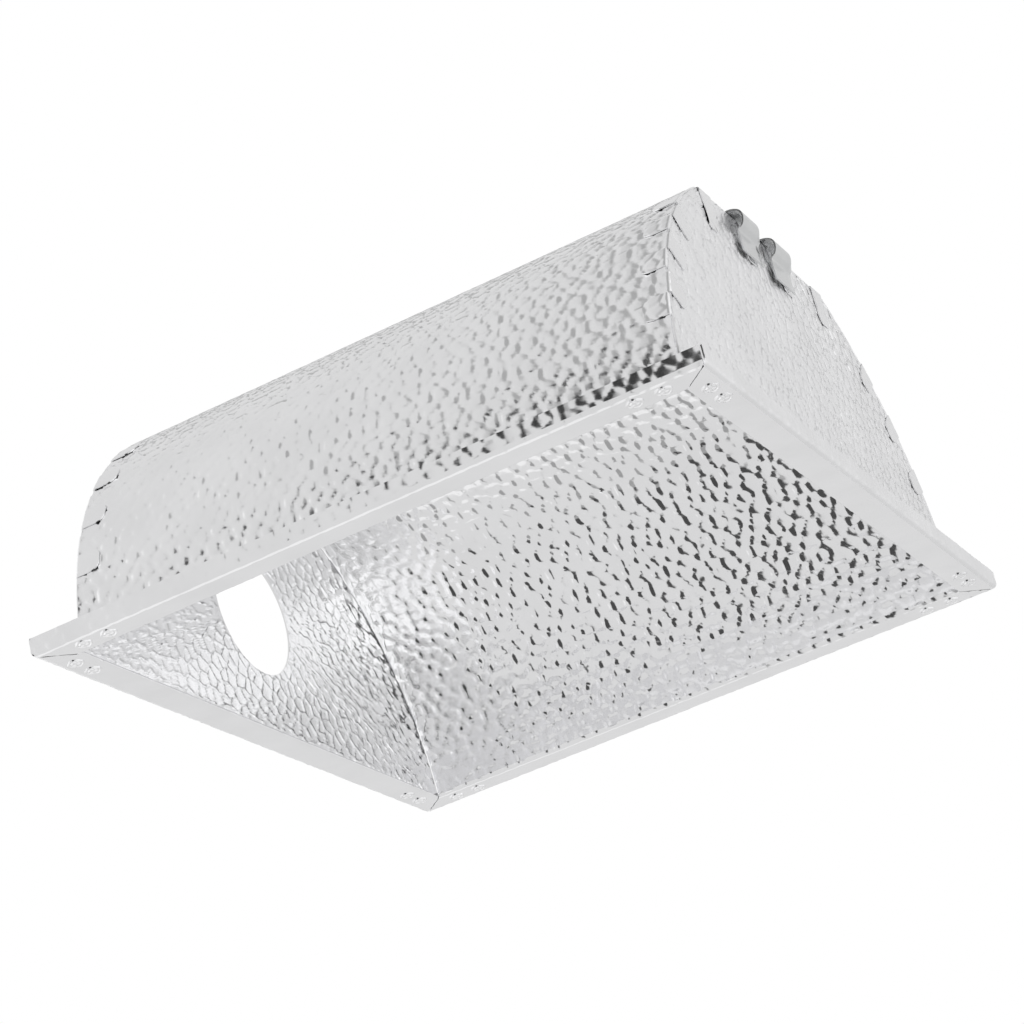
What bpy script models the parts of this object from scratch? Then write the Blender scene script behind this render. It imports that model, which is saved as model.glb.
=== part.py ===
"""Grow lamp reflector: a hammered aluminium hood with end plates, corner gussets and mounting clips.

Metres, +Z up. X runs along the lamp, Y across it. The origin is the middle of the mouth, on the
plane of the rim's underside, so the hood stands on its rim and opens downward.
"""
import math

import bmesh
import bpy
from mathutils import Vector

# Mouth and walls, measured inside.
MOUTH_LENGTH = 0.300
MOUTH_WIDTH = 0.328
INNER_HEIGHT = 0.136
ROOF_SHARE = 0.448
WALL_RADIUS = 0.165
KNEE_RADIUS = 0.006

# Sheet and rim.
SHEET = 0.0008
FLANGE_WIDTH = 0.0165
LIP_HEIGHT = 0.0095
MOUTH_BEND = 0.0015
LIP_BEND = 0.003

# Tabs that lock the end plates to the trough.
TAB_WIDTH = 0.0125
TAB_SPACE = 0.005
FIRST_TAB = 0.040
PLATE_TAB_LENGTH = 0.012
FACE_TAB_LENGTH = 0.014
ROOF_TAB_LENGTH = 0.020
ROOF_TAB_SPACE = 0.00975
TAB_CORNER = 0.004
TAB_GAP = 0.001

# Lamp hole.
LAMP_HOLE_RADIUS = 0.033
LAMP_HOLE_HEIGHT = 0.065

# Corner gussets and their clinched joints.
GUSSET_ARM = 0.027
GUSSET_CLEARANCE = 0.0006
CLINCH_RADIUS = 0.0027
CLINCH_INSET = 0.0082
CLINCH_FIRST = 0.0065
CLINCH_SPACING = 0.0133
CLINCH_RECESS = 0.0003

# Mounting clips.
CLIP_SHEET = 0.0008
CLIP_STRAP = 0.018
CLIP_TAPER = 0.006
CLIP_PINCH = 0.5
CLIP_SPACING = 0.0385
CLIP_SHIFT = -0.006
CLIP_LEG = 0.014
CLIP_BULGE = 0.0042
CLIP_DROP = 0.020

# Gap between pieces that touch on the real hood.
FIT_GAP = 0.0003

# How finely curves are divided.
BEND_STEPS = 4
TAB_STEPS = 8
LONGEST_STEP = 0.007
ROUND_STEPS = 48
SMOOTH_ANGLE = 35

# Depth of a cutter that passes right through a sheet.
CUTTER_DEPTH = 0.01

HALF_LENGTH = MOUTH_LENGTH / 2
HALF_WIDTH = MOUTH_WIDTH / 2
ROOF_WIDTH = ROOF_SHARE * MOUTH_WIDTH
ROOF_TOP = INNER_HEIGHT + SHEET

# A wall's pitch holds one tab of the plate and one of the trough; on the roof they take turns.
TAB_PITCH = 2 * TAB_WIDTH + TAB_SPACE
ROOF_TAB_SPACING = TAB_WIDTH + ROOF_TAB_SPACE


# The cross-section: a flat roof, a small knee bend and a long curved wall down to the mouth.

def wall_centre():
    """Centre of the wall's arc, from the mouth edge, the knee corner and the radius."""
    foot = Vector((HALF_WIDTH, 0.0))
    knee = Vector((ROOF_WIDTH / 2, INNER_HEIGHT))
    chord = knee - foot
    inward = Vector((-chord.y, chord.x)).normalized()
    rise = math.sqrt(WALL_RADIUS ** 2 - (chord.length / 2) ** 2)
    return (foot + knee) / 2 + inward * rise


CENTRE = wall_centre()
KNEE_Z = INNER_HEIGHT - KNEE_RADIUS
KNEE_Y = CENTRE.x + math.sqrt((WALL_RADIUS - KNEE_RADIUS) ** 2 - (KNEE_Z - CENTRE.y) ** 2)
KNEE_ANGLE = math.atan2(KNEE_Z - CENTRE.y, KNEE_Y - CENTRE.x)
FOOT_ANGLE = math.asin(-CENTRE.y / WALL_RADIUS)
KNEE_ARC = KNEE_RADIUS * (math.pi / 2 - KNEE_ANGLE)
WALL_LENGTH = WALL_RADIUS * (KNEE_ANGLE - FOOT_ANGLE)
HALF_SECTION = KNEE_Y + KNEE_ARC + WALL_LENGTH


def section(distance, offset=0.0):
    """Point (y, z) on the inner surface, at a distance along it from the roof's middle line.

    The offset moves the point along the surface's outward normal.
    """
    side = math.copysign(1.0, distance)
    along = abs(distance)
    if along <= KNEE_Y:
        y, z, angle = along, INNER_HEIGHT, math.pi / 2
    elif along <= KNEE_Y + KNEE_ARC:
        angle = math.pi / 2 - (along - KNEE_Y) / KNEE_RADIUS
        y = KNEE_Y + KNEE_RADIUS * math.cos(angle)
        z = KNEE_Z + KNEE_RADIUS * math.sin(angle)
    else:
        angle = KNEE_ANGLE - (along - KNEE_Y - KNEE_ARC) / WALL_RADIUS
        y = CENTRE.x + WALL_RADIUS * math.cos(angle)
        z = CENTRE.y + WALL_RADIUS * math.sin(angle)
    y += offset * math.cos(angle)
    z += offset * math.sin(angle)
    return side * y, z


# Tabs, each as a (start, end) range of distance along the section.

def wall_ranges(first):
    """Tabs of one wall, counted up from the mouth, stopping two tab widths short of the knee."""
    ranges = []
    start = first
    while start + 3 * TAB_WIDTH <= WALL_LENGTH:
        ranges.append((HALF_SECTION - start - TAB_WIDTH, HALF_SECTION - start))
        start += TAB_PITCH
    return ranges


def roof_ranges(multiples):
    """Tabs of the flat roof at multiples of the roof spacing, on the half where Y is positive."""
    ranges = []
    for multiple in multiples:
        middle = multiple * ROOF_TAB_SPACING
        if middle <= KNEE_Y:
            ranges.append((middle - TAB_WIDTH / 2, middle + TAB_WIDTH / 2))
    return ranges


def both_sides(ranges):
    """The ranges and their mirror images."""
    mirrored = [(-end, -start) for start, end in ranges if start > 0]
    return sorted(mirrored + ranges)


PLATE_TABS = both_sides(roof_ranges((0, 2)) + wall_ranges(FIRST_TAB))
FACE_TABS = both_sides(roof_ranges((1, 3)) + wall_ranges(FIRST_TAB + TAB_WIDTH + TAB_GAP))


def spread(start, end, steps):
    """Evenly spaced values from start to end."""
    return [start + (end - start) * step / steps for step in range(steps + 1)]


def stations(tabs, limit):
    """Distances along the section from -limit to +limit, with every tab's own divisions in them."""
    stops = [-limit]
    for start, end in tabs:
        stops += spread(start, end, TAB_STEPS)
    stops.append(limit)
    filled = [stops[0]]
    for stop in stops[1:]:
        steps = max(1, math.ceil((stop - filled[-1]) / LONGEST_STEP))
        filled += spread(filled[-1], stop, steps)[1:]
    return filled


def tab_at(tabs, distance):
    """The tab that holds a distance, or None."""
    for start, end in tabs:
        if start - 1e-7 <= distance <= end + 1e-7:
            return start, end
    return None


def tab_reach(tab, distance, length):
    """How far a tab reaches at a distance along it, with its two tip corners rounded."""
    half = (tab[1] - tab[0]) / 2
    from_middle = abs(distance - (tab[0] + tab[1]) / 2)
    into_corner = max(0.0, from_middle - (half - TAB_CORNER))
    return length - TAB_CORNER + math.sqrt(max(0.0, TAB_CORNER ** 2 - into_corner ** 2))


def bend(centre, radius, start, end):
    """Points of an arc from one angle to another, in degrees."""
    points = []
    for degrees in spread(start, end, BEND_STEPS):
        angle = math.radians(degrees)
        points.append((centre[0] + radius * math.cos(angle), centre[1] + radius * math.sin(angle)))
    return points


def rim_profile():
    """Points (outward from the mouth edge, up) of the flange and its lip, from the wall to the lip top."""
    points = bend((MOUTH_BEND, MOUTH_BEND), MOUTH_BEND, 180, 270)
    points += bend((FLANGE_WIDTH - LIP_BEND, LIP_BEND), LIP_BEND, 270, 360)
    points.append((FLANGE_WIDTH, LIP_HEIGHT))
    return points


def mitre_reach(out):
    """How far a flange runs at a distance out from the mouth: 45 degrees, drawn in round the lip bend."""
    into_bend = max(0.0, out - (FLANGE_WIDTH - LIP_BEND))
    return out - into_bend * SHEET / LIP_BEND


# Blender helpers.

def start_collections():
    """Empty the file and make one collection for the pieces and one for the cutters."""
    for existing in list(bpy.data.objects):
        bpy.data.objects.remove(existing, do_unlink=True)
    made = []
    for name in ("grow_lamp_reflector", "cutters"):
        collection = bpy.data.collections.new(name)
        bpy.context.scene.collection.children.link(collection)
        made.append(collection)
    return made


def material(name, colour, roughness):
    """A bare metal with its own colour and roughness."""
    made = bpy.data.materials.new(name)
    made.use_nodes = True
    shader = made.node_tree.nodes["Principled BSDF"]
    shader.inputs["Base Color"].default_value = (*colour, 1.0)
    shader.inputs["Roughness"].default_value = roughness
    shader.inputs["Metallic"].default_value = 1.0
    return made


def new_object(name, mesh, collection, surface=None):
    """Link a mesh as a named object with its material."""
    made = bpy.data.objects.new(name, mesh)
    collection.objects.link(made)
    if surface:
        mesh.materials.append(surface)
    return made


def mesh_from(work, name):
    """Turn a bmesh into a smooth-shaded mesh."""
    mesh = bpy.data.meshes.new(name)
    work.to_mesh(mesh)
    work.free()
    mesh.shade_smooth()
    mesh.set_sharp_from_angle(angle=math.radians(SMOOTH_ANGLE))
    return mesh


def solidify(target, thickness):
    """Give a sheet its thickness, on the side its normals point to."""
    modifier = target.modifiers.new("thickness", "SOLIDIFY")
    modifier.thickness = thickness
    modifier.offset = 1.0
    modifier.use_even_offset = True
    modifier.use_quality_normals = True


def boolean(target, tool, operation):
    """Cut or join with another object."""
    modifier = target.modifiers.new(operation.lower(), "BOOLEAN")
    modifier.operation = operation
    modifier.solver = "EXACT"
    modifier.object = tool


def as_cutter(tool):
    """Keep a cutting object out of the model."""
    tool.hide_render = True
    tool.display_type = "WIRE"
    return tool


def add_cylinder(work, centre, radius, height, axis=Vector((0, 0, 1))):
    """Add a closed cylinder to a bmesh, along an axis."""
    made = bmesh.ops.create_cone(
        work, cap_ends=True, segments=ROUND_STEPS, radius1=radius, radius2=radius, depth=height)
    turn = Vector((0, 0, 1)).rotation_difference(axis).to_matrix()
    bmesh.ops.rotate(work, cent=(0, 0, 0), matrix=turn, verts=made["verts"])
    bmesh.ops.translate(work, vec=centre, verts=made["verts"])


def face_outward(work):
    """Make all normals agree, with the highest face's normal pointing up, away from the hollow."""
    bmesh.ops.recalc_face_normals(work, faces=work.faces)
    highest = max(work.faces, key=lambda face: face.calc_center_median().z)
    if highest.normal.z < 0:
        bmesh.ops.reverse_faces(work, faces=work.faces)


# Pieces.

def trough_path():
    """The whole section as (y, z, distance along it), from one lip over the roof to the other."""
    rim = rim_profile()
    limit = HALF_SECTION - MOUTH_BEND
    far_rim = [(HALF_WIDTH + out, up, None) for out, up in rim[1:]]
    near_rim = [(-y, z, None) for y, z, _ in reversed(far_rim)]
    walls = [(*section(distance), distance) for distance in stations(FACE_TABS, limit)]
    return near_rim + walls + far_rim


def trough_end(y):
    """X of the trough's end at a given Y: square on the walls, mitred on the flanges and lips."""
    return HALF_LENGTH - FIT_GAP + mitre_reach(max(0.0, abs(y) - HALF_WIDTH))


def add_face_tabs(work, ends, path, side):
    """Carry the trough's end past the end plate and fold it down over the plate's outer face."""
    fold_x = side * (HALF_LENGTH + SHEET + FIT_GAP)
    for tab in FACE_TABS:
        inside = [i for i, point in enumerate(path) if point[2] is not None and tab_at([tab], point[2])]
        length = ROOF_TAB_LENGTH if abs(tab[0] + tab[1]) / 2 <= KNEE_Y else FACE_TAB_LENGTH
        fold = []
        tip = []
        for i in inside:
            distance = path[i][2]
            fold.append(work.verts.new((fold_x, *section(distance))))
            tip.append(work.verts.new((fold_x, *section(distance, -tab_reach(tab, distance, length)))))
        for here, i in enumerate(inside[:-1]):
            work.faces.new((ends[i], ends[i + 1], fold[here + 1], fold[here]))
            work.faces.new((fold[here], fold[here + 1], tip[here + 1], tip[here]))


def make_trough(collection, clinch_holes):
    """The bent sheet that makes both walls, the roof and the two long flanges."""
    path = trough_path()
    work = bmesh.new()
    left = [work.verts.new((-trough_end(y), y, z)) for y, z, _ in path]
    right = [work.verts.new((trough_end(y), y, z)) for y, z, _ in path]
    for i in range(len(path) - 1):
        work.faces.new((left[i], left[i + 1], right[i + 1], right[i]))
    add_face_tabs(work, left, path, -1)
    add_face_tabs(work, right, path, 1)
    face_outward(work)
    surface = material("hammered_aluminium_trough", (0.86, 0.87, 0.88), 0.3)
    trough = new_object("reflector_trough", mesh_from(work, "reflector_trough"), collection, surface)
    solidify(trough, SHEET)
    boolean(trough, clinch_holes, "DIFFERENCE")


def plate_outline():
    """Distances along the section where the end plate's edge has a corner."""
    return stations(PLATE_TABS, HALF_SECTION - MOUTH_BEND)


def add_plate_tabs(work, edge, distances):
    """Carry the plate's edge past the trough and fold it back over the trough's outside."""
    outside = SHEET + FIT_GAP
    for tab in PLATE_TABS:
        inside = [i for i, distance in enumerate(distances) if tab_at([tab], distance)]
        fold = []
        tip = []
        for i in inside:
            y, z = section(distances[i], outside)
            reach = tab_reach(tab, distances[i], PLATE_TAB_LENGTH)
            fold.append(work.verts.new((HALF_LENGTH, y, z)))
            tip.append(work.verts.new((HALF_LENGTH - reach, y, z)))
        for here, i in enumerate(inside[:-1]):
            work.faces.new((edge[i], edge[i + 1], fold[here + 1], fold[here]))
            work.faces.new((fold[here], fold[here + 1], tip[here + 1], tip[here]))


def make_end_plate(name, collection, clinch_holes):
    """An end plate with its tabs, and the flange and lip of its side of the rim, built at the +X end."""
    distances = plate_outline()
    work = bmesh.new()
    edge = [work.verts.new((HALF_LENGTH, *section(distance, -FIT_GAP))) for distance in distances]
    work.faces.new(edge)
    add_plate_tabs(work, edge, distances)
    near, far = edge[0], edge[-1]
    for out, up in rim_profile()[1:]:
        half = HALF_WIDTH - FIT_GAP + mitre_reach(out)
        next_near = work.verts.new((HALF_LENGTH + out, -half, up))
        next_far = work.verts.new((HALF_LENGTH + out, half, up))
        work.faces.new((near, far, next_far, next_near))
        near, far = next_near, next_far
    face_outward(work)
    surface = material(name + "_aluminium", (0.85, 0.86, 0.87), 0.35)
    plate = new_object(name, mesh_from(work, name), collection, surface)
    solidify(plate, SHEET)
    boolean(plate, clinch_holes, "DIFFERENCE")
    return plate


def clinch_points(corner_x, corner_y):
    """Middles of the four clinched joints of one corner, two along each flange."""
    points = []
    for step in range(2):
        back = CLINCH_FIRST + step * CLINCH_SPACING
        points.append((corner_x * (HALF_LENGTH - back), corner_y * (HALF_WIDTH + CLINCH_INSET)))
        points.append((corner_x * (HALF_LENGTH + CLINCH_INSET), corner_y * (HALF_WIDTH - back)))
    return points


CORNERS = ((-1, -1), (1, -1), (1, 1), (-1, 1))


def make_clinch_cutter(cutters):
    """The holes through the flanges, one for each clinched joint."""
    work = bmesh.new()
    for corner in CORNERS:
        for x, y in clinch_points(*corner):
            add_cylinder(work, (x, y, 0), CLINCH_RADIUS + FIT_GAP, CUTTER_DEPTH)
    return as_cutter(new_object("clinch_hole_cutter", mesh_from(work, "clinch_hole_cutter"), cutters))


def make_lamp_hole_cutter(cutters):
    """The round hole that the lamp passes through."""
    work = bmesh.new()
    centre = (-HALF_LENGTH, 0, LAMP_HOLE_HEIGHT)
    add_cylinder(work, centre, LAMP_HOLE_RADIUS, CUTTER_DEPTH, Vector((1, 0, 0)))
    return as_cutter(new_object("lamp_hole_cutter", mesh_from(work, "lamp_hole_cutter"), cutters))


def gusset_outline(corner_x, corner_y):
    """The six corners of an L that lies on the flanges, between the walls and the lips."""
    inner = SHEET + GUSSET_CLEARANCE
    outer = FLANGE_WIDTH - LIP_BEND
    reach = -GUSSET_ARM
    offsets = ((reach, inner), (inner, inner), (inner, reach), (outer, reach), (outer, outer), (reach, outer))
    return [(corner_x * (HALF_LENGTH + x), corner_y * (HALF_WIDTH + y)) for x, y in offsets]


def flat_plate(name, outline, bottom, thickness):
    """A flat plate from its outline, as a mesh."""
    curve = bpy.data.curves.new(name, "CURVE")
    curve.dimensions = "2D"
    curve.fill_mode = "BOTH"
    curve.extrude = thickness / 2
    spline = curve.splines.new("POLY")
    spline.points.add(len(outline) - 1)
    for point, (x, y) in zip(spline.points, outline):
        point.co = (x, y, 0, 1)
    spline.use_cyclic_u = True
    outline_object = bpy.data.objects.new(name + "_outline", curve)
    bpy.context.scene.collection.objects.link(outline_object)
    depsgraph = bpy.context.evaluated_depsgraph_get()
    mesh = bpy.data.meshes.new_from_object(outline_object.evaluated_get(depsgraph))
    bpy.data.objects.remove(outline_object, do_unlink=True)
    work = bmesh.new()
    work.from_mesh(mesh)
    bpy.data.meshes.remove(mesh)
    bmesh.ops.remove_doubles(work, verts=work.verts, dist=1e-6)
    bmesh.ops.recalc_face_normals(work, faces=work.faces)
    bmesh.ops.translate(work, vec=(0, 0, bottom + thickness / 2), verts=work.verts)
    return mesh_from(work, name)


def make_gusset(number, corner, collection, cutters):
    """An L-shaped gusset on top of the flanges, with the four buttons that clinch it to them."""
    name = "corner_gusset_%d" % number
    bottom = SHEET + FIT_GAP
    surface = material(name + "_aluminium", (0.80, 0.81, 0.82), 0.4)
    gusset = new_object(name, flat_plate(name, gusset_outline(*corner), bottom, SHEET), collection, surface)
    work = bmesh.new()
    top = bottom + SHEET / 2
    for x, y in clinch_points(*corner):
        height = top - CLINCH_RECESS
        add_cylinder(work, (x, y, CLINCH_RECESS + height / 2), CLINCH_RADIUS, height)
    buttons = as_cutter(new_object(name + "_buttons", mesh_from(work, name + "_buttons"), cutters))
    boolean(gusset, buttons, "UNION")


CLIP_SEAT_X = HALF_LENGTH + 2 * SHEET + 2 * FIT_GAP
CLIP_SEAT_Z = ROOF_TOP + SHEET + 2 * FIT_GAP


def clip_profile():
    """Points (x, z) of the clip's inner side: over the roof's end, out into a loop and back to the plate.

    The loop's points are shares of how far it bulges out and how far it drops below the roof.
    """
    loop = ((0.62, 0.05), (1.0, 0.24), (0.9, 0.38), (0.0, 0.53), (0.0, 1.0))
    points = [(HALF_LENGTH - CLIP_LEG, CLIP_SEAT_Z), (HALF_LENGTH + SHEET, CLIP_SEAT_Z)]
    for out, down in loop:
        points.append((CLIP_SEAT_X + CLIP_BULGE * out, ROOF_TOP - CLIP_DROP * down))
    return points


def make_clip(name, middle_y, collection):
    """A spring strap that loops out from the end plate: open at one side, pinched down at the other."""
    start = middle_y - (CLIP_STRAP + CLIP_TAPER) / 2
    work = bmesh.new()
    rows = []
    for along, openness in ((0.0, 1.0), (CLIP_STRAP, 1.0), (CLIP_STRAP + CLIP_TAPER, CLIP_PINCH)):
        row = []
        for x, z in clip_profile():
            if x > CLIP_SEAT_X:
                x = CLIP_SEAT_X + (x - CLIP_SEAT_X) * openness
            row.append(work.verts.new((x, start + along, z)))
        rows.append(row)
    for row, following in zip(rows, rows[1:]):
        for i in range(len(row) - 1):
            work.faces.new((row[i], row[i + 1], following[i + 1], following[i]))
    face_outward(work)
    surface = material(name + "_spring_steel", (0.62, 0.62, 0.63), 0.3)
    clip = new_object(name, mesh_from(work, name), collection, surface)
    solidify(clip, CLIP_SHEET)


def build():
    """Make every piece of the reflector."""
    collection, cutters = start_collections()
    clinch_holes = make_clinch_cutter(cutters)
    lamp_hole = make_lamp_hole_cutter(cutters)
    make_trough(collection, clinch_holes)
    make_end_plate("blank_end_plate", collection, clinch_holes)
    lamp_plate = make_end_plate("lamp_end_plate", collection, clinch_holes)
    lamp_plate.rotation_euler.z = math.pi
    boolean(lamp_plate, lamp_hole, "DIFFERENCE")
    for number, corner in enumerate(CORNERS, start=1):
        make_gusset(number, corner, collection, cutters)
    make_clip("mounting_clip_near", CLIP_SHIFT - CLIP_SPACING / 2, collection)
    make_clip("mounting_clip_far", CLIP_SHIFT + CLIP_SPACING / 2, collection)


build()
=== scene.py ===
import math
import bpy
import numpy as np
from mathutils import Matrix, Vector


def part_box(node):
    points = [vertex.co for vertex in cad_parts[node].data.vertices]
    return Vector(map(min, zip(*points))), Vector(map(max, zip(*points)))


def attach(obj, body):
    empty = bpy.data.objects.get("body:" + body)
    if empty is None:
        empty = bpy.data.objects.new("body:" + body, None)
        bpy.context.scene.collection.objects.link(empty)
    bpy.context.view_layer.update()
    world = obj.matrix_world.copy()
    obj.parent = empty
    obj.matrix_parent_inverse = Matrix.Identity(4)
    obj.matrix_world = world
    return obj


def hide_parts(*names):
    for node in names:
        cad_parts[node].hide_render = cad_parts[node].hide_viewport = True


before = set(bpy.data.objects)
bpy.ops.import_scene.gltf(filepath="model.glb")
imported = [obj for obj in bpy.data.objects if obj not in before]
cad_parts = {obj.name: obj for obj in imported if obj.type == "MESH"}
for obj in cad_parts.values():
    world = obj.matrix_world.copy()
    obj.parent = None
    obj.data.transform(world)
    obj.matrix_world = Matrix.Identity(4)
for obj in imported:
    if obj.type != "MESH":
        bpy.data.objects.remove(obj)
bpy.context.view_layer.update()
print("frame loaded:", sorted(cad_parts))

_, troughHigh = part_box("reflector_trough")
sheet = 0.0008  # thickness of every sheet and of the clips
# lift keeps the flange's relief above the rim's lowest level; gap and seam are slits between sheets that touch
hood = {
    "mouthHalfX": 0.150, "mouthHalfY": 0.164, "innerHeight": troughHigh.z - sheet, "kneeHalfY": 0.0735,
    "wallRadius": 0.165, "kneeRadius": 0.006, "flange": troughHigh.y - 0.164, "lipHeight": 0.0095,
    "lipBend": 0.003, "mouthBend": 0.0015, "lift": 0.0005, "gap": 0.0003, "seam": 0.00005,
}


def arcCentre():  # centre of the wall's arc through the mouth edge and the knee
    foot = np.array([hood["mouthHalfY"], 0.0])
    knee = np.array([hood["kneeHalfY"], hood["innerHeight"]])
    chord = knee - foot
    length = np.hypot(*chord)
    inward = np.array([-chord[1], chord[0]]) / length
    return (foot + knee) / 2 + inward * math.sqrt(hood["wallRadius"] ** 2 - (length / 2) ** 2)


centreY, centreZ = arcCentre()
kneeZ = hood["innerHeight"] - hood["kneeRadius"]
kneeY = centreY + math.sqrt((hood["wallRadius"] - hood["kneeRadius"]) ** 2 - (kneeZ - centreZ) ** 2)
kneeAngle = math.atan2(kneeZ - centreZ, kneeY - centreY)
footAngle = math.asin(-centreZ / hood["wallRadius"])
kneeArc = hood["kneeRadius"] * (math.pi / 2 - kneeAngle)
wallLength = hood["wallRadius"] * (kneeAngle - footAngle)
halfSection = kneeY + kneeArc + wallLength
print("half section %.1f mm" % (halfSection * 1000))


def sectionPoint(distance, offset=0.0):
    # The section at a distance along it from the roof's middle: flat roof, then a small arc at the knee, then
    # the wall's long arc. Offset runs along the outward normal. Gives y, z and the normal's y and z.
    side = np.where(distance < 0, -1.0, 1.0)
    along = np.abs(distance)
    onKnee = np.clip((along - kneeY) / hood["kneeRadius"], 0, None)
    onWall = (along - kneeY - kneeArc) / hood["wallRadius"]
    angle = np.where(along < kneeY + kneeArc, np.pi / 2 - onKnee, kneeAngle - onWall)
    y = np.where(along <= kneeY, along, kneeY + hood["kneeRadius"] * np.cos(angle))
    z = np.where(along <= kneeY, hood["innerHeight"], kneeZ + hood["kneeRadius"] * np.sin(angle))
    y = np.where(onWall > 0, centreY + hood["wallRadius"] * np.cos(angle), y)
    z = np.where(onWall > 0, centreZ + hood["wallRadius"] * np.sin(angle), z)
    normalY, normalZ = np.cos(angle), np.sin(angle)
    return side * (y + offset * normalY), z + offset * normalZ, side * normalY, normalZ


relief = {
    "pebble": 0.0079, "jitter": 0.34, "groove": 0.0009, "depth": 0.00040, "crown": 0.00008, "lowest": 0.75,
    "tableRows": 61, "tableColumns": 67, "snapBottom": 0.38, "snapBrink": 0.45, "crownReach": 0.6,
    "edgeFade": 0.0012, "flangeShare": 0.45, "lipShare": 0.6,
    "troughSeed": 7, "blankSeed": 11, "lampSeed": 17,
}
reliefDepth = relief["depth"] + relief["crown"]


def pebbles(u, v, step, seed):
    # Rows of seeds on a staggered lattice, each pushed off its place. A pebble is the region nearest a seed.
    # Height is 0 in the groove between two pebbles, rises over the groove's width and crowns to the middle.
    # Grid points near a groove slide onto its bottom or its brink, so that a coarse grid draws it sharply.
    size, tableRows, tableColumns = relief["pebble"], relief["tableRows"], relief["tableColumns"]
    rowPitch = size * math.sqrt(3) / 2
    rng = np.random.default_rng(seed)
    push = rng.uniform(-1, 1, (tableRows, tableColumns, 2)) * relief["jitter"] * size
    lift = rng.uniform(relief["lowest"], 1.0, (tableRows, tableColumns))
    best, second = np.full(u.shape, np.inf), np.full(u.shape, np.inf)
    bestU, bestV, secondU, secondV, raised = (np.zeros(u.shape) for _ in range(5))
    for rowStep in (-2, -1, 0, 1, 2):
        row = np.round(v / rowPitch).astype(int) + rowStep
        shift = (row % 2) * 0.5
        for colStep in (-2, -1, 0, 1, 2):
            col = np.round(u / size - shift).astype(int) + colStep
            drawn = (row % tableRows, col % tableColumns)
            seedU = (col + shift) * size + push[drawn][..., 0]
            seedV = row * rowPitch + push[drawn][..., 1]
            away = (u - seedU) ** 2 + (v - seedV) ** 2
            closer, between = away < best, (away >= best) & (away < second)
            secondU = np.where(closer, bestU, np.where(between, seedU, secondU))
            secondV = np.where(closer, bestV, np.where(between, seedV, secondV))
            second = np.where(closer, best, np.where(between, away, second))
            bestU, bestV = np.where(closer, seedU, bestU), np.where(closer, seedV, bestV)
            raised = np.where(closer, lift[drawn], raised)
            best = np.where(closer, away, best)
    apart = np.hypot(secondU - bestU, secondV - bestV) + 1e-9
    border = (second - best) / (2 * apart)
    groove = relief["groove"]
    bottom = border < relief["snapBottom"] * step
    brink = ~bottom & (border < groove + relief["snapBrink"] * step) & (step > 0)
    moved = np.where(bottom, 0.0, np.where(brink, groove, border))
    u = u - (moved - border) * (secondU - bestU) / apart
    v = v - (moved - border) * (secondV - bestV) / apart
    rise = np.clip(moved / groove, 0, 1)
    crown = 1 - np.clip(np.sqrt(best) / (size * relief["crownReach"]), 0, 1) ** 2
    height = (relief["depth"] * raised + relief["crown"] * crown) * rise
    return u, v, height / reliefDepth


def gridIndex(rows, cols):  # vertex numbers of a grid, row by row
    return np.arange(rows * cols).reshape(rows, cols)


def gridQuads(a):  # one quad for each square of a grid of vertex numbers
    return np.stack([a[:-1, :-1], a[:-1, 1:], a[1:, 1:], a[1:, :-1]], axis=-1).reshape(-1, 4)


def strip(upper, lower):
    # quads between a grid's border, walked the way its faces walk it, and the matching lower line
    return np.stack([upper[1:], upper[:-1], lower[:-1], lower[1:]], axis=-1)


def closedSheet(top, bottom, wrap=False):
    # two grids of the same size, the bottom one turned over, and a strip that joins their borders
    a = gridIndex(*top.shape[:2])
    b = a + a.size
    if wrap:
        a, b = np.concatenate([a, a[:, :1]], axis=1), np.concatenate([b, b[:, :1]], axis=1)
    quads = [gridQuads(a), gridQuads(b)[:, ::-1], strip(a[0], b[0]), strip(a[-1, ::-1], b[-1, ::-1])]
    if not wrap:
        quads += [strip(a[::-1, 0], b[::-1, 0]), strip(a[:, -1], b[:, -1])]
    return np.concatenate([top.reshape(-1, 3), bottom.reshape(-1, 3)]), np.concatenate(quads), []


def skinSheet(top, hidden):
    # one detailed face of a sheet; its other face is straight from end to end and lies inside the metal
    a = gridIndex(*top.shape[:2])
    b = a.size + gridIndex(*hidden.shape[:2])
    quads = [gridQuads(a), gridQuads(b)[:, ::-1], strip(a[0], b[0]), strip(a[-1, ::-1], b[-1, ::-1])]
    first = np.concatenate([a[:, 0], b[::-1, 0]])
    last = np.concatenate([a[::-1, -1], b[:, -1]])
    return np.concatenate([top.reshape(-1, 3), hidden.reshape(-1, 3)]), np.concatenate(quads), [first, last]


def turnedOut(shell):
    # reverses a closed shell whose signed volume is negative
    points, quads, rims = shell
    a, b, c, d = (points[quads[:, i]] for i in range(4))
    volume = np.einsum("ij,ij->i", a, np.cross(b, c) + np.cross(c, d)).sum()
    return shell if volume > 0 else (points, quads[:, ::-1], [rim[::-1] for rim in rims])


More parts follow.
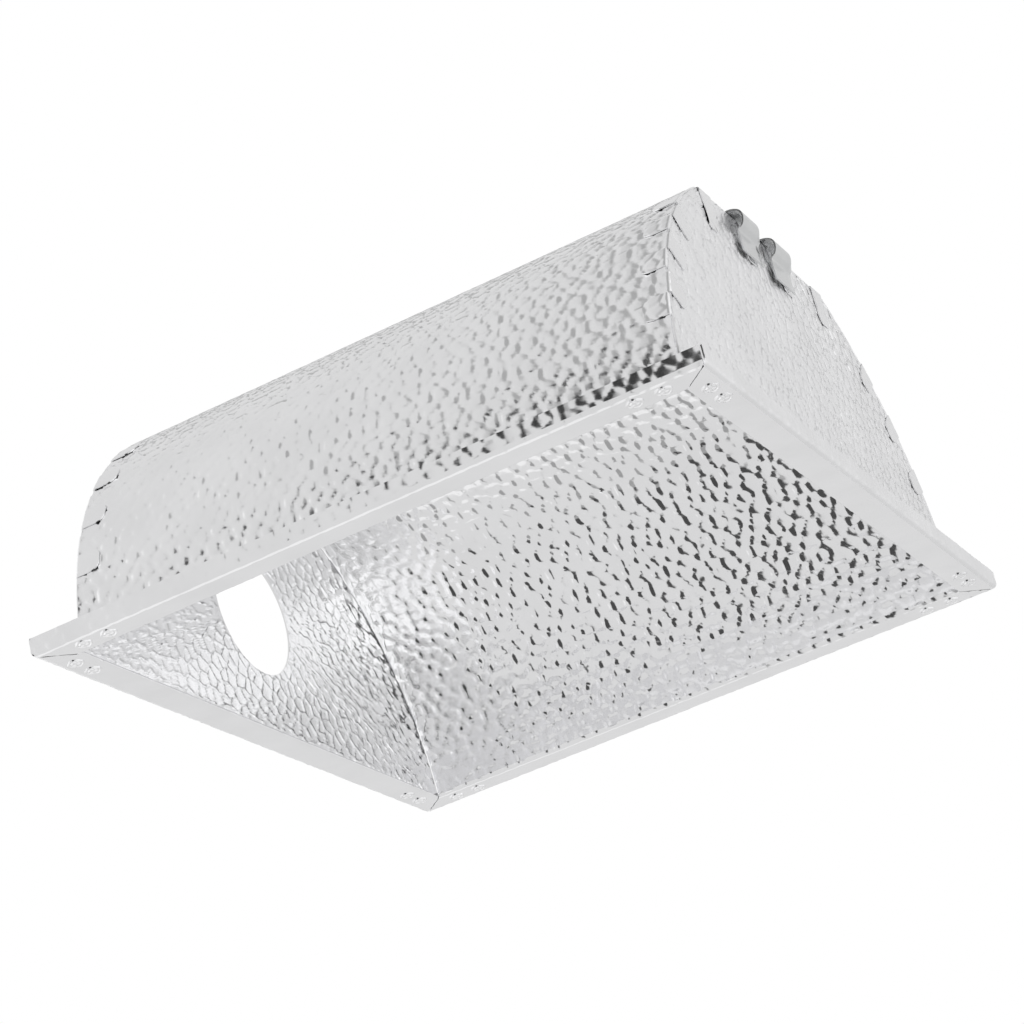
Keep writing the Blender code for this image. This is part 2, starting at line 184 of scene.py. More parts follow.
def pieceFrom(name, shells):
    # joins closed shells into one object, smooth but for the creases
    points, loops, sizes, start = [], [], [], 0
    for p, quads, rims in map(turnedOut, shells):
        points.append(p)
        loops += [(quads + start).ravel()] + [rim + start for rim in rims]
        sizes += [np.full(len(quads), 4)] + [np.array([len(rim)]) for rim in rims]
        start += len(p)
    points, loops, sizes = np.concatenate(points), np.concatenate(loops), np.concatenate(sizes)
    mesh = bpy.data.meshes.new(name)
    mesh.vertices.add(len(points))
    mesh.vertices.foreach_set("co", points.astype(np.float32).ravel())
    mesh.loops.add(len(loops))
    mesh.loops.foreach_set("vertex_index", loops.astype(np.int32))
    mesh.polygons.add(len(sizes))
    mesh.polygons.foreach_set("loop_start", (np.cumsum(sizes) - sizes).astype(np.int32))
    mesh.update(calc_edges=True)
    mesh.validate()
    mesh.shade_smooth()
    mesh.set_sharp_from_angle(angle=math.radians(50))  # a fold in sheet metal turns more than this
    made = bpy.data.objects.new(name, mesh)
    bpy.context.scene.collection.objects.link(made)
    print("%s: %d triangles" % (name, (sizes - 2).sum()))
    return made


def markSatin(made, amount, side=0):
    # writes how satin each face is: all faces, or with a side only those that look toward that end of X
    mesh = made.data
    normals = np.zeros(len(mesh.polygons) * 3, np.float32)
    mesh.polygons.foreach_get("normal", normals)
    chosen = (normals[::3] * side > 0.3) | (side == 0)
    satin = mesh.attributes.new("satin", "FLOAT", "FACE")
    satin.data.foreach_set("value", (chosen * amount).astype(np.float32))


def halfTurn(shells):  # the same shells turned half round about the upright axis
    return [(points * np.array([-1.0, -1.0, 1.0]), quads, rims) for points, quads, rims in shells]


def linearColour(hexText):  # sRGB hex to linear
    values = [int(hexText[i:i + 2], 16) / 255 for i in (1, 3, 5)]
    return [c / 12.92 if c <= 0.04045 else ((c + 0.055) / 1.055) ** 2.4 for c in values] + [1.0]


def addNode(tree, kind, settings=None, links=None):
    # one node with its settings; links maps an input's name to another node's output
    node = tree.nodes.new(kind)
    for key, value in (settings or {}).items():
        if key in node.inputs:
            node.inputs[key].default_value = value
        else:
            setattr(node, key, value)
    for key, source in (links or {}).items():
        tree.links.new(source, node.inputs[key])
    return node


# Real rolling lines are a few hundredths of a millimetre apart, too fine to show, so they are drawn 1.1 mm
# apart and 170 mm long. Haze from handling comes in clouds of about 26 mm. A satin face is rougher.
finish = {
    "linesAcross": 900.0, "linesAlong": 6.0, "linesBump": 0.05, "linesDeep": 0.0002, "clouds": 38.0,
    "clear": 0.3, "hazy": 0.7, "smoothest": 0.8, "roughest": 1.35, "satinAdds": 0.26,
    "darkest": 0.35, "palest": 0.65,
}


def rolledMetal(name, tint, roughness):
    # metal sheet as it leaves the rollers: it mirrors, with fine lines along it and a little haze
    made = bpy.data.materials.new(name)
    made.use_nodes = True
    tree = made.node_tree
    tree.nodes.clear()
    coords = addNode(tree, "ShaderNodeTexCoord")
    fineness = (finish["linesAlong"], finish["linesAcross"], finish["linesAcross"])
    lines = addNode(tree, "ShaderNodeMapping", {"Scale": fineness}, {"Vector": coords.outputs["Object"]})
    rolled = addNode(
        tree, "ShaderNodeTexNoise", {"Scale": 1.0, "Detail": 3.0}, {"Vector": lines.outputs["Vector"]})
    haze = addNode(
        tree, "ShaderNodeTexNoise", {"Scale": finish["clouds"], "Detail": 4.0},
        {"Vector": coords.outputs["Object"]})
    rough = addNode(
        tree, "ShaderNodeMapRange",
        {"From Min": finish["clear"], "From Max": finish["hazy"],
         "To Min": roughness * finish["smoothest"], "To Max": roughness * finish["roughest"]},
        {"Value": haze.outputs["Fac"]})
    satin = addNode(tree, "ShaderNodeAttribute", {"attribute_name": "satin"})
    rougher = addNode(tree, "ShaderNodeMath", {"operation": "MULTIPLY_ADD"})
    tree.links.new(satin.outputs["Fac"], rougher.inputs[0])
    rougher.inputs[1].default_value = finish["satinAdds"]
    tree.links.new(rough.outputs["Result"], rougher.inputs[2])
    colour = addNode(tree, "ShaderNodeValToRGB", None, {"Fac": haze.outputs["Fac"]})
    colour.color_ramp.elements[0].color = linearColour(tint[0])
    colour.color_ramp.elements[1].color = linearColour(tint[1])
    colour.color_ramp.elements[0].position = finish["darkest"]
    colour.color_ramp.elements[1].position = finish["palest"]
    bump = addNode(
        tree, "ShaderNodeBump", {"Strength": finish["linesBump"], "Distance": finish["linesDeep"]},
        {"Height": rolled.outputs["Fac"]})
    shader = addNode(
        tree, "ShaderNodeBsdfPrincipled", {"Metallic": 1.0},
        {"Base Color": colour.outputs["Color"], "Roughness": rougher.outputs[0],
         "Normal": bump.outputs["Normal"]})
    addNode(tree, "ShaderNodeOutputMaterial", None, {"Surface": shader.outputs["BSDF"]})
    return made


def rimCurve():
    # Flange and lip as distances out and up from the mouth edge: a quarter bend, a flat, a quarter bend, then
    # the lip. Normals point to the side that the metal's thickness is on.
    bend, wide, lip, lift = hood["mouthBend"], hood["flange"], hood["lipBend"], hood["lift"]
    first = np.radians(np.linspace(180, 270, 5))[1:]
    flat = np.linspace(bend, wide - lip, 12)[1:-1]
    last = np.radians(np.linspace(270, 360, 7))
    rise = np.linspace(lip + lift, hood["lipHeight"], 7)[1:]
    out = np.concatenate(
        [bend + bend * np.cos(first), flat, wide - lip + lip * np.cos(last), rise * 0 + wide])
    up = np.concatenate([bend + bend * np.sin(first), flat * 0, lip + lip * np.sin(last), rise - lift]) + lift
    normalOut = np.concatenate([-np.cos(first), flat * 0, -np.cos(last), rise * 0 - 1])
    normalUp = np.concatenate([-np.sin(first), flat * 0 + 1, -np.sin(last), rise * 0])
    return out, up, normalOut, normalUp


def rimReach(out):
    # how far the flange runs on at each distance out: a 45 degree mitre, drawn in round the lip
    return out - np.clip(out - (hood["flange"] - hood["lipBend"]), 0, None) * sheet / hood["lipBend"]


def rimAlong(out, up):  # distance walked along the rim's curve
    return np.cumsum(np.hypot(np.diff(out, prepend=0), np.diff(up, prepend=hood["mouthBend"] + hood["lift"])))


def rimSurface(across, along, seed):
    # across runs along the rim, one value per grid point; the other direction follows the rim's curve
    out, up, normalOut, normalUp = rimCurve()
    _, _, height = pebbles(across, along, 0.0, seed)
    height = height * rimShare(normalUp) * reliefDepth
    return out + normalOut * height, up + normalUp * height, normalOut, normalUp


def rimShare(normalUp):  # the flange was pressed flatter than the lip
    return relief["lipShare"] + (relief["flangeShare"] - relief["lipShare"]) * normalUp


tabs = {
    "width": 0.0125, "pitch": 0.030, "first": 0.040, "gap": 0.001, "plateLength": 0.012, "faceLength": 0.014,
    "roofLength": 0.020, "roofSpacing": 0.02225, "corner": 0.004, "bend": 0.0005, "thick": 0.0006,
    "reliefShare": 0.4, "spareWidths": 3, "acrossPoints": 15, "alongPoints": 15, "bendPoints": 6,
    "twinSeed": 20, "blankEndSeed": 100, "lampEndSeed": 150,
}


def wallTabs(first):  # middle and length of each of one wall's tabs, counted up from the mouth
    count = int((wallLength - first - tabs["spareWidths"] * tabs["width"]) // tabs["pitch"]) + 1
    ends = halfSection - first - tabs["pitch"] * np.arange(count)
    return [(end - tabs["width"] / 2, tabs["faceLength"]) for end in ends]


def roofTabs(multiples):  # tabs on the roof's edge, at these multiples of their spacing from its middle
    return [(m * tabs["roofSpacing"], tabs["roofLength"]) for m in multiples]


def tabShell(middle, length, folded, seed):
    # A tab is a strip that leaves its sheet, turns a right angle and runs on. Its width goes along the
    # section, its length first over the edge and then down the other sheet. Its tip's corners are rounded.
    columns = np.linspace(-1, 1, tabs["acrossPoints"])[:, None] * tabs["width"] / 2
    into = np.clip(np.abs(columns) - (tabs["width"] / 2 - tabs["corner"]), 0, None)
    reach = length - tabs["corner"] + np.sqrt(np.clip(tabs["corner"] ** 2 - into ** 2, 0, None))
    bend, half = tabs["bend"], hood["mouthHalfX"]
    run = np.linspace(0, 1, tabs["alongPoints"])[None, 1:]
    phi = np.radians(np.linspace(0, 90, tabs["bendPoints"]))[None, :]
    one = np.ones_like(columns)
    if folded == "over the trough":
        top = sheet + hood["seam"]
        x = [half * one, (half - bend + bend * np.cos(phi)) * one, half - bend - (reach - bend) * run]
        q = [-hood["seam"] * one, (top - bend + bend * np.sin(phi)) * one, top + reach * run * 0]
        normalX = [one, np.cos(phi) * one, reach * run * 0]
        normalQ = [one * 0, np.sin(phi) * one, 1 + reach * run * 0]
    else:
        face = half + sheet + hood["seam"]
        x = [(half - hood["gap"]) * one, (face - bend + bend * np.sin(phi)) * one, face + reach * run * 0]
        q = [one * 0, (bend * np.cos(phi) - bend) * one, -bend - (reach - bend) * run]
        normalX = [one * 0, np.sin(phi) * one, 1 + reach * run * 0]
        normalQ = [one, np.cos(phi) * one, reach * run * 0]
    x, q, normalX, normalQ = (np.concatenate(part, axis=1) for part in (x, q, normalX, normalQ))
    s = middle + columns + x * 0
    _, _, height = pebbles(s, x + q, 0.0, seed)
    sides = []
    for offset in (tabs["thick"] - (1 - height) * tabs["reliefShare"] * reliefDepth, x * 0):
        y, z, _, _ = sectionPoint(s, q + normalQ * offset)
        sides.append(np.stack([x + normalX * offset, y, z], axis=-1))
    return closedSheet(*sides)


def mirrored(shells, axis):  # the same shells on the other side of the middle
    flip = np.ones(3)
    flip[axis] = -1
    return [(points * flip, quads, rims) for points, quads, rims in shells]


def tabRow(folded, places, seed):  # a tab at each place, and its twin across the middle
    shells = []
    for number, (middle, length) in enumerate(places):
        shells.append(tabShell(middle, length, folded, seed + number))
        if middle > 0:
            shells.append(tabShell(-middle, length, folded, seed + tabs["twinSeed"] + number))
    return shells


clinch = {
    "radius": 0.0040, "inset": 0.0082, "first": 0.0065, "spacing": 0.0133, "proud": 0.00045,
    "backing": 0.0003, "lobes": 0.10, "disc": 0.62, "discEdge": 0.10,
    "collar": 0.88, "collarWidth": 0.09, "collarShare": 0.8,
    "cross": 0.7, "crossWidth": 0.09, "crossReach": 0.6, "deepest": -0.4,
    "middle": 0.02, "turnPoints": 33, "farPoints": 15,
}


def clinchShell(x, y):
    # A pressed button as a height over polar angle and distance from its middle: a flat disc with four lobes
    # and a cross pressed into it, a groove round it and a low collar outside.
    turn = np.linspace(0, 2 * np.pi, clinch["turnPoints"])[None, :-1]
    far = np.linspace(clinch["middle"], 1, clinch["farPoints"])[:, None]
    share = far / (1 + clinch["lobes"] * np.cos(4 * turn))
    disc = np.clip((clinch["disc"] - share) / clinch["discEdge"], 0, 1)
    collar = np.exp(-((share - clinch["collar"]) / clinch["collarWidth"]) ** 2)
    fromCross = np.minimum(np.abs(np.cos(turn)), np.abs(np.sin(turn))) * far
    cross = np.exp(-(fromCross / clinch["crossWidth"]) ** 2) * (share < clinch["crossReach"])
    height = disc - clinch["cross"] * cross + clinch["collarShare"] * collar
    proud = clinch["proud"] * np.clip(height, clinch["deepest"], 1)
    xs = x + clinch["radius"] * far * np.cos(turn)
    ys = y + clinch["radius"] * far * np.sin(turn)
    lower = np.stack([xs, ys, hood["lift"] - proud], axis=-1)
    upper = np.stack([xs, ys, hood["lift"] + clinch["backing"] + 0 * xs], axis=-1)
    return closedSheet(lower, upper, wrap=True)


def flangeClinches(alongTrough):  # two at each end of a flange on the far side, or on the blank end
    shells = []
    for step in range(2):
        back = clinch["first"] + step * clinch["spacing"]
        along = (hood["mouthHalfX"] if alongTrough else hood["mouthHalfY"]) - back
        away = (hood["mouthHalfY"] if alongTrough else hood["mouthHalfX"]) + clinch["inset"]
        for sign in (-1, 1):
            middle = (sign * along, away) if alongTrough else (away, sign * along)
            shells.append(clinchShell(*middle))
    return shells


trough = {"step": 0.00141}


def makeTrough():
    # The section carried along the hood, with the flanges and lips carried on from its edges. Its outer and
    # inner faces are two pieces, because each holds some 3000 pebbles.
    limit = halfSection - hood["mouthBend"] - hood["lift"]
    s = np.linspace(-limit, limit, int(round(2 * limit / trough["step"])) + 1)
    rows = int(round(2 * hood["mouthHalfX"] / trough["step"])) + 1
    unit = np.linspace(-1, 1, rows)[:, None]
    endX = hood["mouthHalfX"] - hood["gap"]
    u, v = unit * endX + s * 0, unit * 0 + s
    pu, pv, height = pebbles(u, v, trough["step"], relief["troughSeed"])
    inside = np.zeros(u.shape, bool)
    inside[1:-1, 1:-1] = True
    pu, pv = np.where(inside, pu, u), np.where(inside, pv, v)
    pu, pv = np.clip(pu, -endX, endX), np.clip(pv, -limit, limit)
    edge = np.clip((endX - np.abs(pu)) / relief["edgeFade"], 0, 1)
    sink = (height * edge + (1 - edge) - 1) * reliefDepth
    faces = []
    for offset in (sheet + sink, sink, np.full(sink.shape, (sheet - reliefDepth) / 2)):
        y, z, _, _ = sectionPoint(pv, offset)
        faces.append(np.stack([pu, y, z], axis=-1))
    out, up, _, _ = rimCurve()
    xs = unit * (endX + rimReach(out))
    along = rimAlong(out, up)
    rims = []
    for side in (-1, 1):
        onSection = side * (limit + along) + xs * 0
        away, high, normalOut, normalUp = rimSurface(xs, onSection, relief["troughSeed"])
        layers = []
        for offset in (sheet, 0.0, sheet / 2):
            ys = side * (hood["mouthHalfY"] + away + normalOut * offset)
            layers.append(np.stack([xs, ys, high + normalUp * offset], axis=-1))
        rims.append(layers)
    whole = []
    for i in range(3):
        whole.append(np.concatenate([rims[0][i][:, ::-1], faces[i], rims[1][i]], axis=1))
    outer, inner, hidden = whole
    hidden = hidden[[0, -1]]
    hidden[:, :, 0] = outer[[0, -1]][:, :, 0]
    faceTabs = wallTabs(tabs["first"] + tabs["width"] + tabs["gap"]) + roofTabs((1, 3))
    blankTabs = tabRow("over the plate", faceTabs, tabs["blankEndSeed"])
    lampTabs = mirrored(tabRow("over the plate", faceTabs, tabs["lampEndSeed"]), 0)
    clinches = flangeClinches(True)
    outerShells = [skinSheet(outer, hidden)] + blankTabs + lampTabs
    innerShells = [skinSheet(inner, hidden)] + clinches + mirrored(clinches, 1)
    return outerShells, innerShells


plate = {
    "step": 0.00125, "holeRadius": 0.033, "holeZ": 0.065, "rimPoints": 264, "rowPoints": 233,
    "rings": 67, "upperPoints": 355, "lowerPoints": 201,
}


def plateHalfWidth(z):  # half width of the plate at a height, just inside the wall
    wall = centreY + np.sqrt(np.clip((hood["wallRadius"] - hood["seam"]) ** 2 - (z - centreZ) ** 2, 0, None))
    knee = kneeY + np.sqrt(np.clip((hood["kneeRadius"] - hood["seam"]) ** 2 - (z - kneeZ) ** 2, 0, None))
    return np.where(z > kneeZ + hood["kneeRadius"] * math.sin(kneeAngle), knee, wall)


def plateRim(seed):
    # the plate's own flange and lip, carried across the hood's width
    out, up, normalOut, normalUp = rimCurve()
    wide = np.linspace(-1, 1, plate["rimPoints"])[None, :]
    ys = wide * (hood["mouthHalfY"] - hood["gap"] + rimReach(out))[:, None]
    across = rimAlong(out, up)[:, None] + ys * 0
    _, _, height = pebbles(ys, -across, 0.0, seed)
    height = height * rimShare(normalUp)[:, None] * reliefDepth
    sides = []
    for offset in (sheet, 0.0):
        x = hood["mouthHalfX"] + (out + normalOut * offset)[:, None] + normalOut[:, None] * height
        z = (up + normalUp * offset)[:, None] + normalUp[:, None] * height
        sides.append(np.stack([x, ys, z], axis=-1))
    return closedSheet(*sides)


def plateFace(ys, zs, inside, seed, wrap):
    # a flat sheet with the pebbles pressed into both faces; points that aren't inside stay where they are
    py, pz, height = pebbles(ys, zs, plate["step"], seed)
    py, pz = np.where(inside, py, ys), np.where(inside, pz, zs)
    height = np.where(inside, height, 1.0)
    lift = (1 - height) * reliefDepth
    sides = [np.stack([hood["mouthHalfX"] + offset - lift, py, pz], axis=-1) for offset in (sheet, 0.0)]
    return closedSheet(*sides, wrap=wrap)


def blankFace():
    # rows of points at even heights, each row reaching from wall to wall
    bottom, top = hood["mouthBend"] + hood["lift"], hood["innerHeight"] - hood["seam"]
    z = np.linspace(bottom, top, int(round((top - bottom) / plate["step"])) + 1)[:, None]
    wide = np.linspace(-1, 1, plate["rowPoints"])[None, :]
    ys = wide * plateHalfWidth(z)
    inside = np.zeros(ys.shape, bool)
    inside[1:-1, 1:-1] = True
    return plateFace(ys, z + ys * 0, inside, relief["blankSeed"], False)


def lampFace():
    # rings of points between the lamp hole and the plate's outline, on rays from the hole's middle
    bottom = hood["mouthBend"] + hood["lift"]
    limit = halfSection - bottom
    s = np.linspace(-limit, limit, plate["upperPoints"])
    y, z, _, _ = sectionPoint(s, -hood["seam"])
    low = np.linspace(y[-1], y[0], plate["lowerPoints"])[1:-1]
    y, z = np.concatenate([y, low]), np.concatenate([z, low * 0 + z[0]])
    length = np.hypot(y, z - plate["holeZ"])
    holeY = y / length * plate["holeRadius"]
    holeZ = plate["holeZ"] + (z - plate["holeZ"]) / length * plate["holeRadius"]
    share = np.linspace(0, 1, plate["rings"])[:, None]
    ys, zs = holeY + (y - holeY) * share, holeZ + (z - holeZ) * share
    inside = np.zeros(ys.shape, bool)
    inside[2:-1] = True
    return plateFace(ys, zs, inside, relief["lampSeed"], True)


def makePlate(face, seed):  # face, flange and lip, tabs over the trough and clinched joints
    places = wallTabs(tabs["first"]) + roofTabs((0, 2))
    places = [(middle, tabs["plateLength"]) for middle, _ in places]
    clinches = flangeClinches(False)
    return [face, plateRim(seed)] + tabRow("over the trough", places, seed) + clinches


# Each pair of the loop is how far out it stands, as a share of the bulge, and how far down, as a share of the
# drop. Each pair of the lower leg is its distance off the plate in metres, and again the share of the drop.
clips = {
    "strap": 0.018, "taper": 0.006, "pinch": 0.5, "spacing": 0.0385, "shift": -0.006, "leg": 0.014,
    "bulge": 0.0042, "drop": 0.020, "legEnd": 0.003, "shoulder": (0.001, 0.0002),
    "loop": ((0.72, 0.02), (0.97, 0.16), (0.75, 0.34)),
    "lowerLeg": ((0.0004, 0.47), (0.0002, 0.75), (0.0002, 1.0)),
    "pathPoints": 65, "strapPoints": 12, "taperPoints": 14,
}


def makeClip(middleY):
    # A strap whose side view is a smooth curve through a few anchors: over the roof's end, out into a loop
    # and back down the plate. Toward one edge the loop closes, by a smooth step.
    sheetStep = sheet + hood["gap"]
    face = hood["mouthHalfX"] + 2 * sheetStep
    roof = hood["innerHeight"] + sheet
    top = roof + hood["gap"] + sheetStep
    drop, shoulder = clips["drop"], clips["shoulder"]
    anchors = [(hood["mouthHalfX"] - clips["leg"], top), (hood["mouthHalfX"] - clips["legEnd"], top)]
    anchors += [(hood["mouthHalfX"] + sheet + shoulder[0], top - shoulder[1])]
    anchors += [(face + clips["bulge"] * out, roof - drop * down) for out, down in clips["loop"]]
    anchors += [(face + off, roof - drop * down) for off, down in clips["lowerLeg"]]
    anchors = np.array(anchors)
    run = np.linspace(0, len(anchors) - 1, clips["pathPoints"])
    i = np.clip(run.astype(int), 0, len(anchors) - 2)
    f = (run - i)[:, None]
    padded = np.concatenate([2 * anchors[:1] - anchors[1:2], anchors, 2 * anchors[-1:] - anchors[-2:-1]])
    p0, p1, p2, p3 = (padded[i + k] for k in range(4))
    squared, cubed = 2 * p0 - 5 * p1 + 4 * p2 - p3, 3 * p1 - p0 - 3 * p2 + p3
    path = 0.5 * (2 * p1 + (p2 - p0) * f + squared * f ** 2 + cubed * f ** 3)  # goes through every anchor
    tangent = np.gradient(path, axis=0)
    tangent /= np.hypot(tangent[:, 0], tangent[:, 1])[:, None]
    normal = np.stack([-tangent[:, 1], tangent[:, 0]], axis=1)
    tapered = clips["strap"] + np.linspace(0, clips["taper"], clips["taperPoints"])[1:]
    along = np.concatenate([np.linspace(0, clips["strap"], clips["strapPoints"]), tapered])
    closing = np.clip((along - clips["strap"]) / clips["taper"], 0, 1)
    openness = 1 - (1 - clips["pinch"]) * (closing * closing * (3 - 2 * closing))
    ys = (middleY - (clips["strap"] + clips["taper"]) / 2 + along)[:, None] + 0 * path[None, :, 0]
    sides = []
    for offset in (sheet, 0.0):
        lineX, lineZ = (path + normal * offset).T[:, None, :]
        x = np.where(lineX > face, face + (lineX - face) * openness[:, None], lineX)
        sides.append(np.stack([x, ys, np.minimum(lineZ, top + sheet) + 0 * ys], axis=-1))
    return [closedSheet(*sides)]


gusset = {
    "arm": 0.027, "clearance": 0.0006, "corner": 0.0035, "dimple": 0.0027, "deep": 0.0004, "brim": 1.25,
    "mitrePoints": 20, "armPoints": 46, "acrossPoints": 30,
}


def makeGusset():
    # Two arms on top of the flange, one along each side of the rim, meeting in the corner. Each arm is a
    # strip whose free end is rounded, and it dips over each clinched joint.
    low = hood["lift"] + sheet + hood["gap"]
    inner = gusset["clearance"] + sheet
    outer = hood["flange"] - hood["lipBend"]
    shells = []
    for swap in (False, True):
        mitre = np.linspace(-outer, -inner, gusset["mitrePoints"])
        along = np.concatenate([mitre, np.linspace(-inner, gusset["arm"], gusset["armPoints"])[1:]])
        share = np.linspace(0, 1, gusset["acrossPoints"])[None, :]
        rounding = np.clip(along - (gusset["arm"] - gusset["corner"]), 0, None)
        pinch = gusset["corner"] - np.sqrt(np.clip(gusset["corner"] ** 2 - rounding ** 2, 0, None))
        start = np.where(along < -inner, -along, inner) + pinch
        end = outer - pinch
        across = start[:, None] + (end - start)[:, None] * share
        a = along[:, None] + across * 0
        dip = across * 0
        for step in range(2):
            back = clinch["first"] + step * clinch["spacing"]
            away = np.hypot(a - back, across - clinch["inset"])
            dip = dip + gusset["deep"] * np.clip(gusset["brim"] - away / gusset["dimple"], 0, 1)
        sides = []
        for height in (low + sheet - dip, low + dip * 0):
            x = hood["mouthHalfX"] + across if swap else hood["mouthHalfX"] - a
            y = hood["mouthHalfY"] - a if swap else hood["mouthHalfY"] + across
            sides.append(np.stack([x, y, height], axis=-1))
        shells.append(closedSheet(*sides))
    return shells


def cornerTo(shell, sideX, sideY):  # a shell moved to another corner by changing signs
    points, quads, rims = shell
    return points * np.array([sideX, sideY, 1.0]), quads, rims


# Brightened aluminium sheet, hammered between rollers: close to a mirror, so each pebble shows its room.
hammered = rolledMetal("hammered aluminium", ("#f4f4f5", "#f9f9fa"), 0.09)
# Plain aluminium sheet as the mill leaves it: greyer, with a soft sheen and no clear reflections.
millFinish = rolledMetal("mill aluminium", ("#d8d9da", "#e6e7e8"), 0.3)
# Rolled spring steel under thin nickel: a grey, slightly blurred mirror.
springSteel = rolledMetal("nickel plated spring steel", ("#d9dadb", "#e0e1e1"), 0.2)


def place(made, node, material):  # gives a piece its finish and its place in the frame
    made.data.materials.append(material)
    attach(made, "root")
    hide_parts(node)


print("trough")
outerShells, innerShells = makeTrough()
outerFace = pieceFrom("trough_outer_face", outerShells)
innerFace = pieceFrom("trough_inner_face", innerShells)
markSatin(outerFace, 0.3)  # the outside was handled more than the inside
place(outerFace, "reflector_trough", hammered)
place(innerFace, "reflector_trough", hammered)
print("end plates")
blankPlate = pieceFrom("blank_plate", makePlate(blankFace(), relief["blankSeed"]))
lampPlate = pieceFrom("lamp_plate", halfTurn(makePlate(lampFace(), relief["lampSeed"])))
markSatin(blankPlate, 1.0, 1)
markSatin(lampPlate, 1.0, -1)
place(blankPlate, "blank_end_plate", hammered)
place(lampPlate, "lamp_end_plate", hammered)
print("clips and gussets")
for name, side in (("near", -1), ("far", 1)):
    clipShells = makeClip(clips["shift"] + side * clips["spacing"] / 2)
    place(pieceFrom("spring_clip_" + name, clipShells), "mounting_clip_" + name, springSteel)
for number, (sideX, sideY) in enumerate(((-1, -1), (1, -1), (1, 1), (-1, 1)), start=1):
    gussetShells = [cornerTo(shell, sideX, sideY) for shell in makeGusset()]
    made = pieceFrom("gusset_%d" % number, gussetShells)
    place(made, "corner_gusset_%d" % number, millFinish)


# Pale all round, with soft cards. Each card is given by its slant toward +X and its turn about X, where 0 is
# level on the near side, 90 overhead and -90 straight down: in degrees, as start, full, full and end.
studio = {
    "floorZ": -0.9, "floorHalf": 6.0, "floorColour": "#f2f2f2", "pale": 0.74, "backdrop": 1.0,
    "cards": (
        {"slant": (-20, -16, 3, 9), "turn": (-4, 4, 44, 56), "level": 0.05},
        {"slant": (-18, -12, 6, 12), "turn": (44, 56, 112, 125), "level": 0.42},
        {"slant": (-13.5, -10, 13, 18), "turn": (-66, -58, -4, 4), "level": 0.07},
        {"slant": (-13.5, -10, 13, 18), "turn": (-125, -115, -66, -58), "level": 0.36},
        {"slant": (19, 22, 34, 40), "turn": (-74, -66, -44, -38), "level": 1.15},
        {"slant": (-70, -60, -17, -15), "turn": (-140, -130, -92, -84), "level": 0.92},
        {"slant": (-99, -95, -50, -30), "turn": (-200, -190, 190, 200), "level": 1.05},
        {"slant": (32, 46, 95, 99), "turn": (-200, -190, 190, 200), "level": 1.1},
        {"slant": (-14, -10, 10, 14), "turn": (-140, -130, -96, -90), "level": 0.9},
    ),
}


def softBand(tree, value, start, full, fullEnd, end):
    # 1 between the two full angles, falling smoothly to 0 at start and end
    rise = addNode(
        tree, "ShaderNodeMapRange",
        {"interpolation_type": "SMOOTHSTEP", "From Min": math.radians(start), "From Max": math.radians(full)},
        {"Value": value})
    fall = addNode(
        tree, "ShaderNodeMapRange",
        {"interpolation_type": "SMOOTHSTEP", "From Min": math.radians(fullEnd), "From Max": math.radians(end),
         "To Min": 1.0, "To Max": 0.0},
        {"Value": value})
    both = addNode(tree, "ShaderNodeMath", {"operation": "MULTIPLY"})
    tree.links.new(rise.outputs["Result"], both.inputs[0])
    tree.links.new(fall.outputs["Result"], both.inputs[1])
    return both.outputs[0]


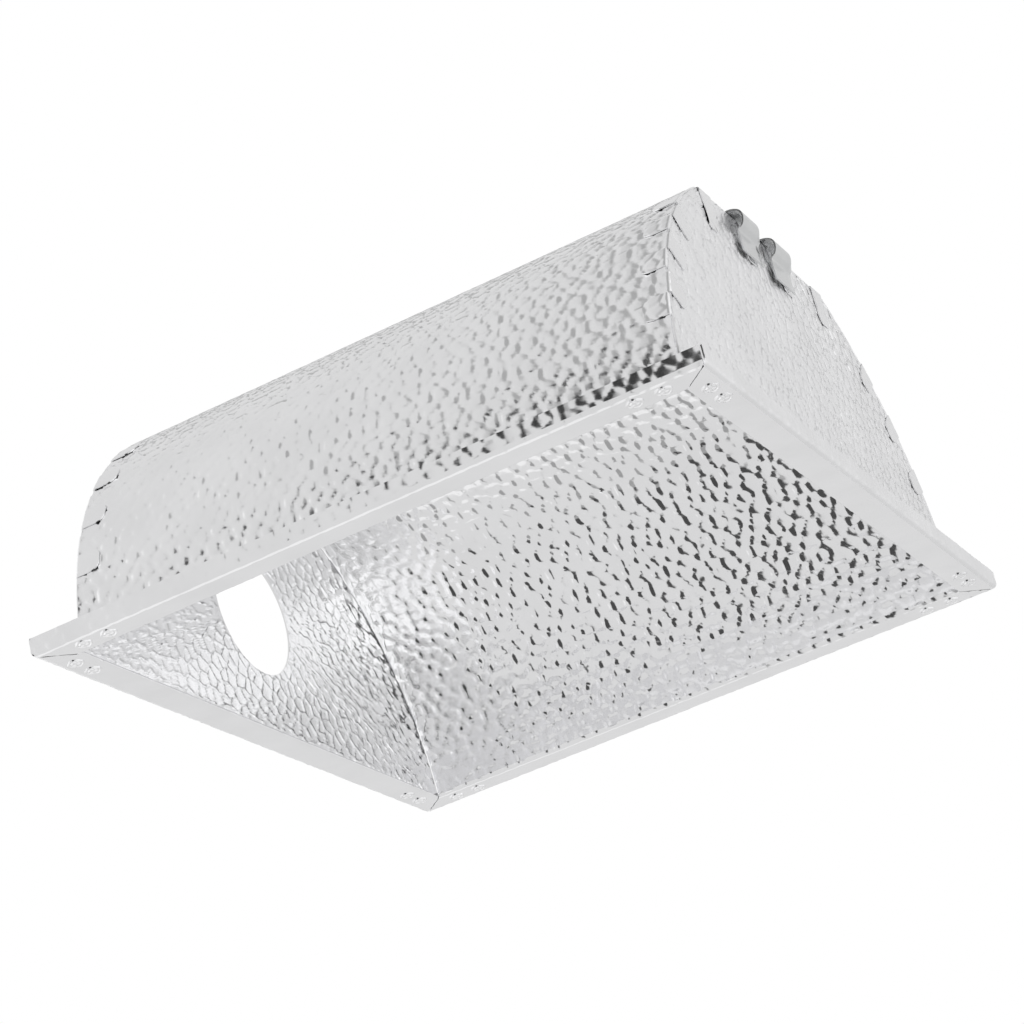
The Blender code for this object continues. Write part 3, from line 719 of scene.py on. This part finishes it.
def makeWorld():
    # the light's strength in each direction, and plain white where the eye looks straight at it
    world = bpy.data.worlds.new("white studio")
    bpy.context.scene.world = world
    world.use_nodes = True
    tree = world.node_tree
    tree.nodes.clear()
    coords = addNode(tree, "ShaderNodeTexCoord")
    xyz = addNode(tree, "ShaderNodeSeparateXYZ", None, {"Vector": coords.outputs["Generated"]})
    minusY = addNode(tree, "ShaderNodeMath", {"operation": "MULTIPLY"})
    tree.links.new(xyz.outputs["Y"], minusY.inputs[0])
    minusY.inputs[1].default_value = -1.0
    slant = addNode(tree, "ShaderNodeMath", {"operation": "ARCSINE"})
    tree.links.new(xyz.outputs["X"], slant.inputs[0])
    turn = addNode(tree, "ShaderNodeMath", {"operation": "ARCTAN2"})
    tree.links.new(xyz.outputs["Z"], turn.inputs[0])
    tree.links.new(minusY.outputs[0], turn.inputs[1])
    level = addNode(tree, "ShaderNodeValue").outputs[0]
    level.default_value = studio["pale"]
    for card in studio["cards"]:
        across = softBand(tree, slant.outputs[0], *card["slant"])
        around = softBand(tree, turn.outputs[0], *card["turn"])
        both = addNode(tree, "ShaderNodeMath", {"operation": "MULTIPLY"})
        tree.links.new(across, both.inputs[0])
        tree.links.new(around, both.inputs[1])
        mixed = addNode(
            tree, "ShaderNodeMapRange", {"To Max": card["level"]},
            {"Value": both.outputs[0], "To Min": level})
        level = mixed.outputs["Result"]
    path = addNode(tree, "ShaderNodeLightPath")
    seen = addNode(
        tree, "ShaderNodeMapRange", {"To Max": studio["backdrop"]},
        {"Value": path.outputs["Is Camera Ray"], "To Min": level})
    light = addNode(
        tree, "ShaderNodeBackground", {"Color": (1, 1, 1, 1)}, {"Strength": seen.outputs["Result"]})
    addNode(tree, "ShaderNodeOutputWorld", None, {"Surface": light.outputs["Background"]})


def makeFloor():
    # pale paper far below; it isn't mirrored in the metal, which would show its edge
    mesh = bpy.data.meshes.new("floor")
    half, low = studio["floorHalf"], studio["floorZ"]
    corners = [(-half, -half, low), (half, -half, low), (half, half, low), (-half, half, low)]
    mesh.from_pydata(corners, [], [(0, 1, 2, 3)])
    floor = bpy.data.objects.new("floor", mesh)
    bpy.context.scene.collection.objects.link(floor)
    paper = bpy.data.materials.new("white paper")
    paper.use_nodes = True
    shader = paper.node_tree.nodes["Principled BSDF"]
    shader.inputs["Base Color"].default_value = linearColour(studio["floorColour"])
    shader.inputs["Roughness"].default_value = 0.9
    mesh.materials.append(paper)
    floor.visible_glossy = False


camera = {
    "place": (0.50687, -1.25224, -0.53390), "forward": (-0.3457676, 0.84681693, 0.40416069),
    "up": (0.37094722, -0.27227754, 0.88784182), "lens": 109.52, "sensor": 36.0, "shiftX": 0.0035,
    "shiftY": -0.0075,
}


def makeCamera():
    data = bpy.data.cameras.new("camera")
    data.lens = camera["lens"]
    data.sensor_width = camera["sensor"]
    data.shift_x = camera["shiftX"]
    data.shift_y = camera["shiftY"]
    made = bpy.data.objects.new("camera", data)
    bpy.context.scene.collection.objects.link(made)
    back = -Vector(camera["forward"]).normalized()
    right = Vector(camera["up"]).cross(back).normalized()
    up = back.cross(right)
    made.matrix_world = Matrix.Translation(camera["place"]) @ Matrix((right, up, back)).transposed().to_4x4()
    bpy.context.scene.camera = made


print("studio and camera")
makeWorld()
makeFloor()
makeCamera()
bpy.context.scene.view_settings.view_transform = "Standard"
